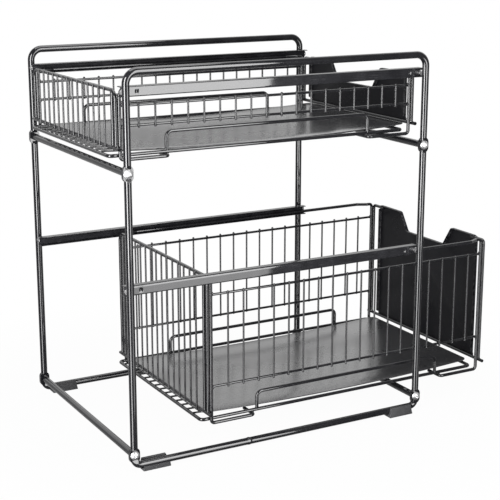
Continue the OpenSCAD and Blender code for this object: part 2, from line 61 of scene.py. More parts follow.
# Stock sizes, as in the part's source
WIRE_R = 2 * MM
ROD_R = 1.5 * MM
BAR_R = 4 * MM
BAR_Z = 7 * MM
SHEET_T = 1 * MM
RAIL_T = 1 * MM
STUD_R = 3.25 * MM
SCREW_HEAD_R = 5.25 * MM
HOOK_LEN = 55 * MM
FLOOR_STUB = 4 * MM
FLOOR_SAG = 5 * MM
SEAT_GAP = 0.1 * MM
TRAY_T = 1.2 * MM
BACK_WIRES = 14
POST_GAP = 8 * MM
ROD_STUB = 8 * MM


# Surfaces

MERGE_DISTANCE = 0.001 * MM
LEAST_STEP = 0.0001 * MM
CRISP_ANGLE = math.radians(40)
ARC_STEPS = 6
HEM_EDGE_STEPS = 5
EASE_STEPS = 4


def grid_faces(rows, columns):
    """Quads of a grid of points: each joins its row and column to the next, and the last column to the
    first."""
    row, column = np.meshgrid(np.arange(rows - 1), np.arange(columns), indexing="ij")
    following = (column + 1) % columns
    quads = np.stack([row * columns + column, row * columns + following,
                      (row + 1) * columns + following, (row + 1) * columns + column], -1)
    return quads.reshape(-1, 4)


def end_faces(rows, columns):
    """The first and the last row of a grid, each as one face."""
    first = np.arange(columns)
    return [first.tolist(), (first + (rows - 1) * columns).tolist()]


def closed_faces(rows, columns):
    """The quads of a grid and the faces that close its two ends."""
    return grid_faces(rows, columns).tolist() + end_faces(rows, columns)


def make_piece(name, points, faces, body, finish, rim=None):
    """A mesh object from points and faces, welded shut and facing outwards, with its sharp edges kept
    crisp."""
    mesh = bpy.data.meshes.new(name)
    mesh.from_pydata(np.asarray(points, float).reshape(-1, 3), [], [list(map(int, face)) for face in faces])
    if rim is not None:
        mask = mesh.attributes.new("rim", "FLOAT", "POINT")
        mask.data.foreach_set("value", np.asarray(rim, np.float32).ravel())
    work = bmesh.new()
    work.from_mesh(mesh)
    bmesh.ops.remove_doubles(work, verts=work.verts, dist=MERGE_DISTANCE)
    bmesh.ops.recalc_face_normals(work, faces=work.faces)
    work.to_mesh(mesh)
    work.free()
    mesh.shade_smooth()
    mesh.set_sharp_from_angle(angle=CRISP_ANGLE)
    mesh.materials.append(finish)
    piece = bpy.data.objects.new(name, mesh)
    bpy.context.scene.collection.objects.link(piece)
    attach(piece, body)
    return piece


def left_normals(steps):
    """Unit vectors turned a quarter left from each step, which point inwards on an anticlockwise loop."""
    turned = np.stack([-steps[:, 1], steps[:, 0]], -1)
    return turned / np.linalg.norm(turned, axis=1, keepdims=True)


def rounded_loop(corners):
    """Points of an anticlockwise loop of corners [u, v, radius]. Each corner becomes an arc that touches both
    its edges: the centre is the corner moved by radius * (na + nb) / (1 + na . nb), where na and nb are the
    inward normals of its edges, and the arc swings from the first normal to the second."""
    corners = np.asarray(corners, float)
    place, radius = corners[:, :2], corners[:, 2]
    na = left_normals(place - np.roll(place, 1, 0))
    nb = left_normals(np.roll(place, -1, 0) - place)
    dot = (na * nb).sum(1)
    bulge = np.where(na[:, 0] * nb[:, 1] - na[:, 1] * nb[:, 0] < 0, -1.0, 1.0)
    centre = place + (bulge * radius / (1 + dot))[:, None] * (na + nb)
    start = np.arctan2(-bulge * na[:, 1], -bulge * na[:, 0])
    swing = bulge * np.arccos(np.clip(dot, -1, 1))
    angle = start[:, None] + swing[:, None] * np.linspace(0, 1, ARC_STEPS)
    arcs = centre[:, None] + radius[:, None, None] * np.stack([np.cos(angle), np.sin(angle)], -1)
    loop = arcs.reshape(-1, 2)
    apart = np.linalg.norm(loop - np.roll(loop, 1, 0), axis=1) > LEAST_STEP
    return loop[apart]


def even_loop(loop, count):
    """The same loop with count points at equal distances along it."""
    closed = np.vstack([loop, loop[:1]])
    along = np.r_[0, np.cumsum(np.linalg.norm(np.diff(closed, axis=0), axis=1))]
    at = np.linspace(0, along[-1], count, endpoint=False)
    return np.stack([np.interp(at, along, closed[:, 0]), np.interp(at, along, closed[:, 1])], -1)


def loop_normals(loop):
    """The inward normal at each point of a loop, square to the line between its two neighbours."""
    return left_normals(np.roll(loop, -1, 0) - np.roll(loop, 1, 0))


def folded_sheet(outline, fold, thickness, radius, depth):
    """A sheet cut to an outline, with its rim folded back. Returns points (section, outline, 3) and the rim
    mask.

    Across the rim, a folded section runs from the front face round a quarter arc, back along the hem, round
    the hem's edge, and inside back to the back face. A plain section ends the sheet in a half round. The two
    are mixed point by point in the share given by fold, and carried round the outline along its inward
    normals."""
    half = thickness / 2
    inner = radius - thickness
    bend = np.linspace(0, math.pi / 2, ARC_STEPS)
    edge = np.linspace(0, math.pi, HEM_EDGE_STEPS)
    folded = np.concatenate([
        np.stack([radius - radius * np.sin(bend), radius - radius * np.cos(bend)], -1),
        np.stack([half - half * np.cos(edge), depth - half + half * np.sin(edge)], -1),
        np.stack([radius - inner * np.sin(bend[::-1]), radius - inner * np.cos(bend[::-1])], -1)])
    plain = np.concatenate([
        np.stack([np.linspace(radius, half, ARC_STEPS), 0 * bend], -1),
        np.stack([half - half * np.sin(edge), half - half * np.cos(edge)], -1),
        np.stack([np.linspace(half, radius, ARC_STEPS), 0 * bend + thickness], -1)])
    section = plain[:, None] + fold[None, :, None] * (folded - plain)[:, None]
    points = np.empty((len(folded), len(outline), 3))
    points[..., :2] = outline + section[..., :1] * loop_normals(outline)
    points[..., 2] = section[..., 1]
    rim = np.zeros(points.shape[:2])
    rim[1:-1] = 1
    return points, rim


def eased_ends(ease, low, high):
    """Places along a sweep and how far the section draws in there: a quarter circle of radius ease at each
    end."""
    turn = np.linspace(0, math.pi / 2, EASE_STEPS)
    draw = ease * (1 - np.sin(turn))
    along = ease * (1 - np.cos(turn))
    return np.r_[low + along, high - along[::-1]], np.r_[draw, draw[::-1]]


# Finishes

# Edges are the noise levels between which a pattern goes from none to full. Scales are repeats per metre.
PATCH_EDGES = (0.35, 0.65)
SPECK_EDGES = (0.76, 0.82)
RUB_STRETCH = (1.0, 0.02, 1.0)
STREAK_SCALE = 1400.0
STREAK_EDGES = (0.5, 0.7)
BREAK_SCALE = 70.0
BREAK_EDGES = (0.45, 0.65)


def shader_group(name, inputs, outputs):
    """A shader node group with a Place, named value inputs and named value outputs."""
    group = bpy.data.node_groups.new(name, "ShaderNodeTree")
    group.interface.new_socket(name="Place", in_out="INPUT", socket_type="NodeSocketVector")
    for label, value in inputs:
        socket = group.interface.new_socket(name=label, in_out="INPUT", socket_type="NodeSocketFloat")
        socket.default_value = value
    for label in outputs:
        group.interface.new_socket(name=label, in_out="OUTPUT", socket_type="NodeSocketFloat")
    return group, group.nodes.new("NodeGroupInput"), group.nodes.new("NodeGroupOutput")


def add_noise(tree, place, scale, detail):
    """A noise texture at scale repeats per metre. Scale is a number or a socket."""
    noise = tree.nodes.new("ShaderNodeTexNoise")
    noise.inputs["Detail"].default_value = detail
    tree.links.new(place, noise.inputs["Vector"])
    if isinstance(scale, (int, float)):
        noise.inputs["Scale"].default_value = scale
    else:
        tree.links.new(scale, noise.inputs["Scale"])
    return noise.outputs["Fac"]


def add_range(tree, value, low, high, to_low=0.0, to_high=1.0):
    """A value stretched from one range to another, held at the ends."""
    node = tree.nodes.new("ShaderNodeMapRange")
    tree.links.new(value, node.inputs["Value"])
    for label, number in (("From Min", low), ("From Max", high), ("To Min", to_low), ("To Max", to_high)):
        node.inputs[label].default_value = number
    return node.outputs["Result"]


def add_math(tree, operation, first, second=None):
    """One operation on one or two values, each a number or a socket."""
    node = tree.nodes.new("ShaderNodeMath")
    node.operation = operation
    for socket, value in zip(node.inputs, (first, second)):
        if isinstance(value, (int, float)):
            socket.default_value = value
        elif value is not None:
            tree.links.new(value, socket)
    return node.outputs["Value"]


def add_mix(tree, share, first, second):
    """Two colours mixed by a share. A colour is three numbers or a socket."""
    node = tree.nodes.new("ShaderNodeMix")
    node.data_type = "RGBA"
    tree.links.new(share, node.inputs["Factor"])
    for label, colour in (("A", first), ("B", second)):
        socket = [s for s in node.inputs if s.name == label and s.type == "RGBA"][0]
        if isinstance(colour, tuple):
            socket.default_value = (*colour, 1)
        else:
            tree.links.new(colour, socket)
    return [s for s in node.outputs if s.type == "RGBA"][0]


def coat_skin_group():
    """Sprayed coating: a fine orange peel, soft patches of gloss and sparse dust specks."""
    group, given, result = shader_group(
        "Coat_skin", [("Peel scale", 900.0), ("Patch scale", 45.0), ("Speck scale", 1500.0)],
        ["Peel", "Patches", "Specks"])
    place = given.outputs["Place"]
    peel = add_noise(group, place, given.outputs["Peel scale"], detail=2.0)
    patches = add_noise(group, place, given.outputs["Patch scale"], detail=3.0)
    specks = add_noise(group, place, given.outputs["Speck scale"], detail=0.0)
    group.links.new(peel, result.inputs["Peel"])
    group.links.new(add_range(group, patches, *PATCH_EDGES), result.inputs["Patches"])
    group.links.new(add_range(group, specks, *SPECK_EDGES), result.inputs["Specks"])
    return group


def rub_group():
    """Rubbing along the slide: streaks stretched along Y, broken up by a coarse noise."""
    group, given, result = shader_group("Slide_rub", [("Amount", 0.3)], ["Rub"])
    stretch = group.nodes.new("ShaderNodeVectorMath")
    stretch.operation = "MULTIPLY"
    stretch.inputs[1].default_value = RUB_STRETCH
    group.links.new(given.outputs["Place"], stretch.inputs[0])
    streaks = add_range(group, add_noise(group, stretch.outputs["Vector"], STREAK_SCALE, detail=3.0),
                        *STREAK_EDGES)
    broken = add_range(group, add_noise(group, given.outputs["Place"], BREAK_SCALE, detail=2.0), *BREAK_EDGES)
    both = add_math(group, "MULTIPLY", streaks, broken)
    group.links.new(add_math(group, "MULTIPLY", both, given.outputs["Amount"]), result.inputs["Rub"])
    return group


def turned_group():
    """Turning marks on the screw heads: rings about the nearest screw axis. The axes lie at one distance from
    the middle along Y and at two heights, left and right alike. The rings are a sine of the distance from the
    axis."""
    group, given, result = shader_group("Turned_rings", [("Ring scale", 9000.0)], ["Rings"])
    low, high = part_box("cross_bar_screws")
    leg_y = (high.y - low.y) / 2 - SCREW_HEAD_R
    split = group.nodes.new("ShaderNodeSeparateXYZ")
    group.links.new(given.outputs["Place"], split.inputs[0])
    across = add_math(group, "SUBTRACT", add_math(group, "ABSOLUTE", split.outputs["Y"]), leg_y)
    from_low = add_math(group, "SUBTRACT", split.outputs["Z"], low.z + SCREW_HEAD_R)
    from_high = add_math(group, "SUBTRACT", split.outputs["Z"], high.z - SCREW_HEAD_R)
    nearest = add_math(group, "MINIMUM", add_math(group, "ABSOLUTE", from_low),
                       add_math(group, "ABSOLUTE", from_high))
    squares = add_math(group, "ADD", add_math(group, "MULTIPLY", across, across),
                       add_math(group, "MULTIPLY", nearest, nearest))
    distance = add_math(group, "SQRT", squares)
    rings = add_math(group, "SINE", add_math(group, "MULTIPLY", distance, given.outputs["Ring scale"]))
    group.links.new(rings, result.inputs["Rings"])
    return group


COAT_SKIN = coat_skin_group()
SLIDE_RUB = rub_group()
TURNED_RINGS = turned_group()


def start_finish(name, **constants):
    """A material with a Principled shader whose constant values sit on its own sockets, and its Object
    coordinates."""
    finish = bpy.data.materials.new(name)
    finish.use_nodes = True
    tree = finish.node_tree
    shader = tree.nodes["Principled BSDF"]
    for label, value in constants.items():
        shader.inputs[label.replace("_", " ")].default_value = value
    place = tree.nodes.new("ShaderNodeTexCoord").outputs["Object"]
    return finish, tree, shader, place


def add_group(tree, group, place, **values):
    """A node group in a material, reading the piece's own coordinates."""
    node = tree.nodes.new("ShaderNodeGroup")
    node.node_tree = group
    tree.links.new(place, node.inputs["Place"])
    for label, value in values.items():
        node.inputs[label.replace("_", " ")].default_value = value
    return node.outputs


def add_bump(tree, shader, height, distance, strength):
    """A bump of a given depth in metres on the shader's normal."""
    bump = tree.nodes.new("ShaderNodeBump")
    bump.inputs["Distance"].default_value = distance
    bump.inputs["Strength"].default_value = strength
    tree.links.new(height, bump.inputs["Height"])
    tree.links.new(bump.outputs["Normal"], shader.inputs["Normal"])


def rim_mask(tree):
    """The rim value that some surfaces carry at their points. It is zero on the others."""
    mask = tree.nodes.new("ShaderNodeAttribute")
    mask.attribute_name = "rim"
    return mask.outputs["Fac"]


RUBBED_COAT = (0.09, 0.09, 0.095)
RUBBED_ROUGHNESS = 0.3
COAT_DUST = (0.12, 0.12, 0.12)
COAT_DUST_SHARE = 0.15
COAT_PEEL_STRENGTH = 0.2


def coated_finish(name, dark, light, gloss, peel_scale, peel_depth, rub):
    """Black coating on steel: colour drifts between two near blacks, gloss varies in patches, the surface has
    an orange peel, and rubbed streaks show a paler, duller coat. Where the rim mask is 1 the gloss is
    missing."""
    finish, tree, shader, place = start_finish(name, IOR=1.5, Specular_IOR_Level=0.05, Coat_IOR=1.8,
                                               Coat_Roughness=0.05)
    skin = add_group(tree, COAT_SKIN, place, Peel_scale=peel_scale)
    worn = add_group(tree, SLIDE_RUB, place, Amount=rub)["Rub"]
    colour = add_mix(tree, skin["Patches"], dark, light)
    colour = add_mix(tree, worn, colour, RUBBED_COAT)
    colour = add_mix(tree, add_math(tree, "MULTIPLY", skin["Specks"], COAT_DUST_SHARE), colour, COAT_DUST)
    tree.links.new(colour, shader.inputs["Base Color"])
    rough = add_range(tree, skin["Patches"], 0, 1, *gloss)
    rubbed = add_math(tree, "MULTIPLY", worn, RUBBED_ROUGHNESS)
    tree.links.new(add_math(tree, "ADD", rough, rubbed), shader.inputs["Roughness"])
    add_bump(tree, shader, skin["Peel"], peel_depth, COAT_PEEL_STRENGTH)
    tree.links.new(add_math(tree, "SUBTRACT", 1.0, rim_mask(tree)), shader.inputs["Coat Weight"])
    return finish


# Painted highlight on the rim of the sheets: its paler colour, its share, and the scale and edges of the
# noise that breaks it into patches.
PAINTED_RIM_HIGHLIGHT = (0.10, 0.10, 0.105)
PAINTED_RIM_HIGHLIGHT_SHARE = 0.45
PAINTED_RIM_HIGHLIGHT_SCALE = 260.0
PAINTED_RIM_HIGHLIGHT_EDGES = (0.42, 0.62)
SHEET_DUST = (0.16, 0.16, 0.16)
SHEET_DUST_SHARE = 0.3
SHEET_GRAIN_DEPTH = 0.06 * MM
SHEET_GRAIN_STRENGTH = 0.3


def sheet_finish(name, dark, light, gloss, **coat):
    """Satin coated sheet: fine powder grain and broad drifts of gloss. The rim gets a paler colour in broken
    patches, a painted highlight of the folded and rounded edges."""
    finish, tree, shader, place = start_finish(name, IOR=1.5, **coat)
    skin = add_group(tree, COAT_SKIN, place, Peel_scale=1700.0, Patch_scale=14.0, Speck_scale=1100.0)
    broken = add_range(tree, add_noise(tree, place, PAINTED_RIM_HIGHLIGHT_SCALE, detail=3.0), *PAINTED_RIM_HIGHLIGHT_EDGES)
    # Painted highlight: the rim mask, broken up by noise, mixes the paler colour into the rim.
    worn = add_math(tree, "MULTIPLY", add_math(tree, "MULTIPLY", rim_mask(tree), broken), PAINTED_RIM_HIGHLIGHT_SHARE)
    colour = add_mix(tree, skin["Patches"], dark, light)
    colour = add_mix(tree, worn, colour, PAINTED_RIM_HIGHLIGHT)
    colour = add_mix(tree, add_math(tree, "MULTIPLY", skin["Specks"], SHEET_DUST_SHARE), colour, SHEET_DUST)
    tree.links.new(colour, shader.inputs["Base Color"])
    tree.links.new(add_range(tree, skin["Patches"], 0, 1, *gloss), shader.inputs["Roughness"])
    add_bump(tree, shader, skin["Peel"], SHEET_GRAIN_DEPTH, SHEET_GRAIN_STRENGTH)
    return finish


ZINC_DARK = (0.86, 0.86, 0.87)
ZINC_LIGHT = (0.95, 0.95, 0.95)
ZINC_GLOSS = (0.42, 0.52)
ZINC_SPOT = (0.6, 0.6, 0.61)
ZINC_SPOT_SHARE = 0.2
RING_SHARE = 0.3
RING_DEPTH = 0.01 * MM
RING_STRENGTH = 0.3


def steel_finish(name):
    """Zinc-plated steel: turned rings on the heads, cloudy plating and small dull spots."""
    finish, tree, shader, place = start_finish(name, Metallic=1.0)
    skin = add_group(tree, COAT_SKIN, place, Peel_scale=2200.0, Patch_scale=420.0, Speck_scale=2600.0)
    rings = add_group(tree, TURNED_RINGS, place)["Rings"]
    colour = add_mix(tree, skin["Patches"], ZINC_DARK, ZINC_LIGHT)
    colour = add_mix(tree, add_math(tree, "MULTIPLY", skin["Specks"], ZINC_SPOT_SHARE), colour, ZINC_SPOT)
    tree.links.new(colour, shader.inputs["Base Color"])
    tree.links.new(add_range(tree, skin["Patches"], 0, 1, *ZINC_GLOSS), shader.inputs["Roughness"])
    height = add_math(tree, "ADD", add_math(tree, "MULTIPLY", rings, RING_SHARE), skin["Peel"])
    add_bump(tree, shader, height, RING_DEPTH, RING_STRENGTH)
    return finish


PLASTIC_DARK = (0.028, 0.028, 0.030)
PLASTIC_LIGHT = (0.048, 0.048, 0.051)
PLASTIC_GLOSS = (0.48, 0.62)
PIT_SCALE = 3200.0
PIT_EDGES = (0.4, 0.7)
PIT_SHARES = (0.0, 0.5)
PIT_TINT = (0.085, 0.085, 0.088)
PIT_DEPTH = 0.2 * MM
PIT_STRENGTH = 0.5
WORN_PLASTIC = (0.11, 0.11, 0.115)
WORN_PLASTIC_SHARE = 0.35


def plastic_finish(name):
    """Moulded plastic with a spark-eroded grain: pits of two sizes, paler where the grain is worn at the
    rim."""
    finish, tree, shader, place = start_finish(name, IOR=1.46)
    skin = add_group(tree, COAT_SKIN, place, Peel_scale=1300.0, Patch_scale=160.0, Speck_scale=900.0)
    pits = add_noise(tree, place, PIT_SCALE, detail=1.0)
    colour = add_mix(tree, skin["Patches"], PLASTIC_DARK, PLASTIC_LIGHT)
    colour = add_mix(tree, add_range(tree, pits, *PIT_EDGES, *PIT_SHARES), colour, PIT_TINT)
    worn = add_math(tree, "MULTIPLY", rim_mask(tree), WORN_PLASTIC_SHARE)
    colour = add_mix(tree, worn, colour, WORN_PLASTIC)
    tree.links.new(colour, shader.inputs["Base Color"])
    tree.links.new(add_range(tree, skin["Patches"], 0, 1, *PLASTIC_GLOSS), shader.inputs["Roughness"])
    add_bump(tree, shader, add_math(tree, "ADD", skin["Peel"], pits), PIT_DEPTH, PIT_STRENGTH)
    return finish


bar_paint = coated_finish("Bar_gloss_black", dark=(0.008, 0.008, 0.010), light=(0.014, 0.014, 0.016),
                          gloss=(0.26, 0.34), peel_scale=620.0, peel_depth=0.05 * MM, rub=0.10)
wire_paint = coated_finish("Wire_gloss_black", dark=(0.009, 0.009, 0.011), light=(0.015, 0.015, 0.017),
                           gloss=(0.28, 0.36), peel_scale=1100.0, peel_depth=0.04 * MM, rub=0.25)
rail_paint = coated_finish("Rail_satin_black", dark=(0.012, 0.012, 0.014), light=(0.020, 0.020, 0.023),
                           gloss=(0.20, 0.30), peel_scale=800.0, peel_depth=0.04 * MM, rub=0.40)
panel_coat = sheet_finish("Panel_satin_black", dark=(0.006, 0.006, 0.008), light=(0.011, 0.011, 0.013),
                          gloss=(0.27, 0.36), Specular_IOR_Level=0.3)
tray_coat = sheet_finish("Tray_satin_black", dark=(0.030, 0.030, 0.032), light=(0.040, 0.040, 0.043),
                         gloss=(0.22, 0.30), Coat_Weight=1.0, Coat_IOR=1.8, Coat_Roughness=0.2)
zinc_steel = steel_finish("Zinc_steel")
foot_plastic = plastic_finish("Foot_grained_plastic")

NODE_FINISH = {"silver_steel": zinc_steel, "foot_plastic": foot_plastic, "satin_black_sheet": panel_coat}
STAND_BARS = ("side_frame", "cross_bar")
for entry in frame["record"]["subparts"]:
    node = frame["nodes"][entry["node"]]
    paint = bar_paint if entry["node"].endswith(STAND_BARS) else wire_paint
    node.data.materials.clear()
    node.data.materials.append(NODE_FINISH.get(entry["material_slot"], paint))


# Sheet pieces and feet

FOLD_R = 1.7 * MM
NOTCH_TOP = 55 * MM
NOTCH_BOTTOM = 39 * MM
NOTCH_DEPTH = 24.5 * MM
SHOULDER_R = 6 * MM
NOTCH_R = 5 * MM
PANEL_FOOT_R = 0.6 * MM
OUTLINE_POINTS = 720
# The hem grows from HEM_START above the panel's foot to its full depth HEM_RISE further up. The frame's wire
# ends pass between the two distances of FRAME_PASS below the panel's top.
HEM_START = 3.3 * MM
HEM_RISE = 2 * MM
FRAME_PASS = (5.5 * MM, 0.9 * MM)


def front_panel(level):
    """The notched front sheet: an outline of two shoulders with the hand notch between them, its top and
    sides folded back over the frame's wires. The hem stops above the bottom rod and leaves a gap for the
    frame's ends."""
    low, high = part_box(level + "_front_panel")
    half, top, dip = high.x, high.z, high.z - NOTCH_DEPTH
    corners = [
        (-half, low.z, PANEL_FOOT_R), (half, low.z, PANEL_FOOT_R), (half, top, SHOULDER_R),
        (NOTCH_TOP, top, NOTCH_R), (NOTCH_BOTTOM, dip, NOTCH_R),
        (-NOTCH_BOTTOM, dip, NOTCH_R), (-NOTCH_TOP, top, NOTCH_R), (-half, top, SHOULDER_R)]
    outline = even_loop(rounded_loop(corners), OUTLINE_POINTS)
    height = outline[:, 1]
    at_side = np.abs(outline[:, 0]) > half - SHOULDER_R
    passing = at_side & (height > top - FRAME_PASS[0]) & (height < top - FRAME_PASS[1])
    fold = np.clip((height - low.z - HEM_START) / HEM_RISE, 0, 1) * ~passing
    # The rim mask marks the folded hem, where the sheet finish paints its highlight.
    points, rim = folded_sheet(outline, fold, SHEET_T, FOLD_R, high.y - low.y)
    placed = np.stack([points[..., 0], low.y + points[..., 2], points[..., 1]], -1)
    name = level + "_folded_front"
    piece = make_piece(name, placed, closed_faces(*rim.shape), level + "_basket",
                       panel_coat, rim)
    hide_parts(level + "_front_panel")


TRAY_CORNER_R = 8 * MM
TRAY_LIFT = 0.12 * MM
TRAY_CORNER_STEPS = 8
TRAY_EDGE_STEPS = 7
TRAY_ROWS = 40
TRAY_COLUMNS = 12


def floor_tray(level):
    """The loose tray: a thin section with half-round edges carried along Y. At a distance d from an end, its
    half width is half - r + sqrt(r^2 - (r - d)^2) within the corner radius r, and its thickness closes in the
    same way within half of itself. Its height grows with the square of the distance from the floor's
    middle."""
    low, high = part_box(level + "_tray")
    floor_low, floor_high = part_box(level + "_floor_grid")
    front_weld, back_weld = floor_low.y + FLOOR_STUB, floor_high.y - WIRE_R
    middle, half_span = (front_weld + back_weld) / 2, (back_weld - front_weld) / 2
    edge = TRAY_T / 2
    turn = np.linspace(0, math.pi / 2, TRAY_CORNER_STEPS)
    from_end = np.unique(np.r_[edge * (1 - np.cos(turn)), TRAY_CORNER_R * (1 - np.cos(turn[1:]))])
    inner = np.linspace(low.y + TRAY_CORNER_R, high.y - TRAY_CORNER_R, TRAY_ROWS)[1:-1]
    stations = np.r_[low.y + from_end, inner, high.y - from_end[::-1]]
    gap = np.minimum(stations - low.y, high.y - stations)
    in_corner = np.clip(TRAY_CORNER_R - gap, 0, None)
    half_width = high.x - TRAY_CORNER_R + np.sqrt(TRAY_CORNER_R ** 2 - in_corner ** 2)
    closing = np.sqrt(1 - np.clip(1 - gap / edge, 0, 1) ** 2)

    around = np.linspace(-math.pi / 2, math.pi / 2, TRAY_EDGE_STEPS)
    across = np.linspace(1, -1, TRAY_COLUMNS)[1:-1]
    at_edge = np.ones(TRAY_EDGE_STEPS)
    reach = np.r_[at_edge, across, -at_edge, -across]
    round_x = np.r_[np.cos(around), 0 * across, -np.cos(around), 0 * across]
    round_z = np.r_[np.sin(around), 0 * across + 1, np.sin(around[::-1]), 0 * across - 1]
    points = np.empty((len(stations), len(reach), 3))
    points[..., 0] = reach * (half_width[:, None] - edge) + round_x * edge
    points[..., 1] = stations[:, None]
    sag = FLOOR_SAG * ((stations - middle) / half_span) ** 2
    points[..., 2] = low.z + TRAY_LIFT + edge + sag[:, None] + edge * closing[:, None] * round_z
    # The rim marks the rounded edges and ends, where the sheet finish paints its highlight.
    rim = (np.abs(round_x) > 0) | (closing < 1)[:, None]
    piece = make_piece(level + "_rolled_tray", points, grid_faces(*rim.shape), level + "_basket",
                       tray_coat, rim)
    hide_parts(level + "_tray")


RAIL_BEND_R = 1.5 * MM
RAIL_LIP_R = 0.35 * MM
RAIL_INNER_R = 0.5 * MM
RAIL_EASE = 0.25 * MM
DIMPLE_R = 1.5 * MM
DIMPLE_DEPTH = 0.6 * MM
DIMPLE_INSET = 18 * MM
DIMPLE_PATCH = 3 * MM
PATCH_STEPS = 6
BOWL_RINGS = (1.0, 0.75, 0.45)


def channel_rail(level, side, sign):
    """A channel rail: its folded section is carried along Y with eased ends. Round each dimple, a patch of
    the outer face's grid is left out and filled by rings of quads that lead into a bowl of depth
    d (1 - (r / R)^2). The rim mask marks the inside of the channel, where the coat is dull."""
    low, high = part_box(f"{level}_{side}_rail")
    flange, half = high.x - low.x, (high.z - low.z) / 2
    arcs = rounded_loop([
        (0, -half, RAIL_BEND_R), (flange, -half, RAIL_LIP_R), (flange, RAIL_T - half, RAIL_LIP_R),
        (RAIL_T, RAIL_T - half, RAIL_INNER_R), (RAIL_T, half - RAIL_T, RAIL_INNER_R),
        (flange, half - RAIL_T, RAIL_LIP_R), (flange, half, RAIL_LIP_R), (0, half, RAIL_BEND_R)])
    share = np.linspace(0, 1, PATCH_STEPS + 1)[1:-1, None]
    section = np.vstack([arcs, arcs[-1] + share * (arcs[0] - arcs[-1])])
    columns = len(section)
    web = np.r_[np.arange(len(arcs) - 1, columns), 0]

    stations, draw = eased_ends(RAIL_EASE, low.y, high.y)
    dimples = np.array([low.y + DIMPLE_INSET, high.y - DIMPLE_INSET])
    at_dimples = (dimples[:, None] + np.linspace(-DIMPLE_PATCH, DIMPLE_PATCH, PATCH_STEPS + 1)).ravel()
    end_rows = len(stations) // 2
    stations = np.r_[stations[:end_rows], at_dimples, stations[end_rows:]]
    draw = np.r_[draw[:end_rows], np.zeros(len(at_dimples)), draw[end_rows:]]
    rows = len(stations)
    across = section + draw[:, None, None] * loop_normals(section)
    points = np.empty((rows, columns, 3))
    points[..., 0] = across[..., 0]
    points[..., 1] = stations[:, None]
    points[..., 2] = across[..., 1]
    points = points.reshape(-1, 3)

    quads = grid_faces(rows, columns)
    row, column = quads[:, 0] // columns, quads[:, 0] % columns
    first_rows = end_rows + np.arange(len(dimples)) * (PATCH_STEPS + 1)
    in_patch = ((row[:, None] >= first_rows) & (row[:, None] < first_rows + PATCH_STEPS)).any(1)
    faces = quads[~(in_patch & np.isin(column, web[:-1]))].tolist() + end_faces(rows, columns)

    step = np.arange(PATCH_STEPS)
    border_rows = np.r_[step * 0, step, step * 0 + PATCH_STEPS, PATCH_STEPS - step]
    border_columns = web[np.r_[step, step * 0 + PATCH_STEPS, PATCH_STEPS - step, step * 0]]
    reach = np.array(BOWL_RINGS)[:, None]
    for first_row, dimple_y in zip(first_rows, dimples):
        border = (first_row + border_rows) * columns + border_columns
        angle = np.arctan2(points[border, 2], points[border, 1] - dimple_y)
        bowl = np.stack([DIMPLE_DEPTH * (1 - reach ** 2) + 0 * angle,
                         dimple_y + DIMPLE_R * reach * np.cos(angle), DIMPLE_R * reach * np.sin(angle)], -1)
        rings = np.vstack([border, len(points) + np.arange(bowl[..., 0].size).reshape(len(reach), -1)])
        points = np.vstack([points, bowl.reshape(-1, 3)])
        outer, inner = rings[:-1], rings[1:]
        faces += np.stack([outer, np.roll(outer, -1, 1), np.roll(inner, -1, 1), inner],
                          -1).reshape(-1, 4).tolist()
        faces.append(rings[-1].tolist())
    inside = (points[:, 0] > RAIL_T / 2) & (np.abs(points[:, 2]) < half - RAIL_T / 2)
    points[:, 0] = (low.x if sign < 0 else high.x) - sign * points[:, 0]
    points[:, 2] += (low.z + high.z) / 2
    piece = make_piece(f"{level}_{side}_folded_rail", points, faces, "stand", rail_paint,
                       inside)
    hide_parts(f"{level}_{side}_rail")


GROOVE_R = 4.1 * MM
GROOVE_STEPS = 18
WALL_IN = 3.9 * MM
LIP_TOP = 5.4 * MM
FOOT_WALL = 2.6 * MM
FOOT_FLARE = 2 * MM
FOOT_TAPER = 0.13
FOOT_EASE = 0.7 * MM
FOOT_BASE_R = 0.7 * MM
FOOT_LIP_R = 0.5 * MM
WALL_OUTER_R = 0.9 * MM
WALL_INNER_R = 0.6 * MM


def clip_foot(end, side, wall_sign):
    """A plastic clip under the bottom bar: a section with a groove round the bar and one tall wall, carried
    along Y with eased ends. Its length shrinks in proportion to the height, so the wall's ends lean in."""
    low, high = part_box(f"{end}_{side}_foot")
    top = high.z
    wall_out = WALL_IN + FOOT_WALL + FOOT_FLARE
    middle_x = high.x - wall_out if wall_sign > 0 else low.x + wall_out
    rise = math.asin(math.sqrt(GROOVE_R ** 2 - WALL_IN ** 2) / GROOVE_R)
    drop = math.asin((BAR_Z - LIP_TOP) / GROOVE_R)
    turn = np.linspace(rise, -math.pi + drop, GROOVE_STEPS)
    groove = np.stack([GROOVE_R * np.cos(turn), BAR_Z + GROOVE_R * np.sin(turn), 0 * turn], -1)
    lip_out = -GROOVE_R - FOOT_WALL / 2
    section = rounded_loop(np.vstack([
        [(lip_out, 0, FOOT_BASE_R), (wall_out, 0, FOOT_BASE_R),
         (WALL_IN + FOOT_WALL, top, WALL_OUTER_R), (WALL_IN, top, WALL_INNER_R)],
        groove,
        [(lip_out, LIP_TOP, FOOT_LIP_R)]]))
    middle_y = (low.y + high.y) / 2
    stations, draw = eased_ends(FOOT_EASE, low.y - middle_y, high.y - middle_y)
    across = section + draw[:, None, None] * loop_normals(section)
    points = np.empty((len(stations), len(section), 3))
    points[..., 0] = middle_x + wall_sign * across[..., 0]
    points[..., 1] = middle_y + stations[:, None] * (1 - FOOT_TAPER * across[..., 1] / top)
    points[..., 2] = across[..., 1]
    rim = np.broadcast_to((draw > 0)[:, None], points.shape[:2])
    piece = make_piece(f"{end}_{side}_grained_foot", points, closed_faces(*rim.shape), "stand",
                       foot_plastic, rim)
    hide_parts(f"{end}_{side}_foot")


# Welds

BEAD_ROWS = 6
BEAD_COLUMNS = 10
BEAD_LUMP = 0.08


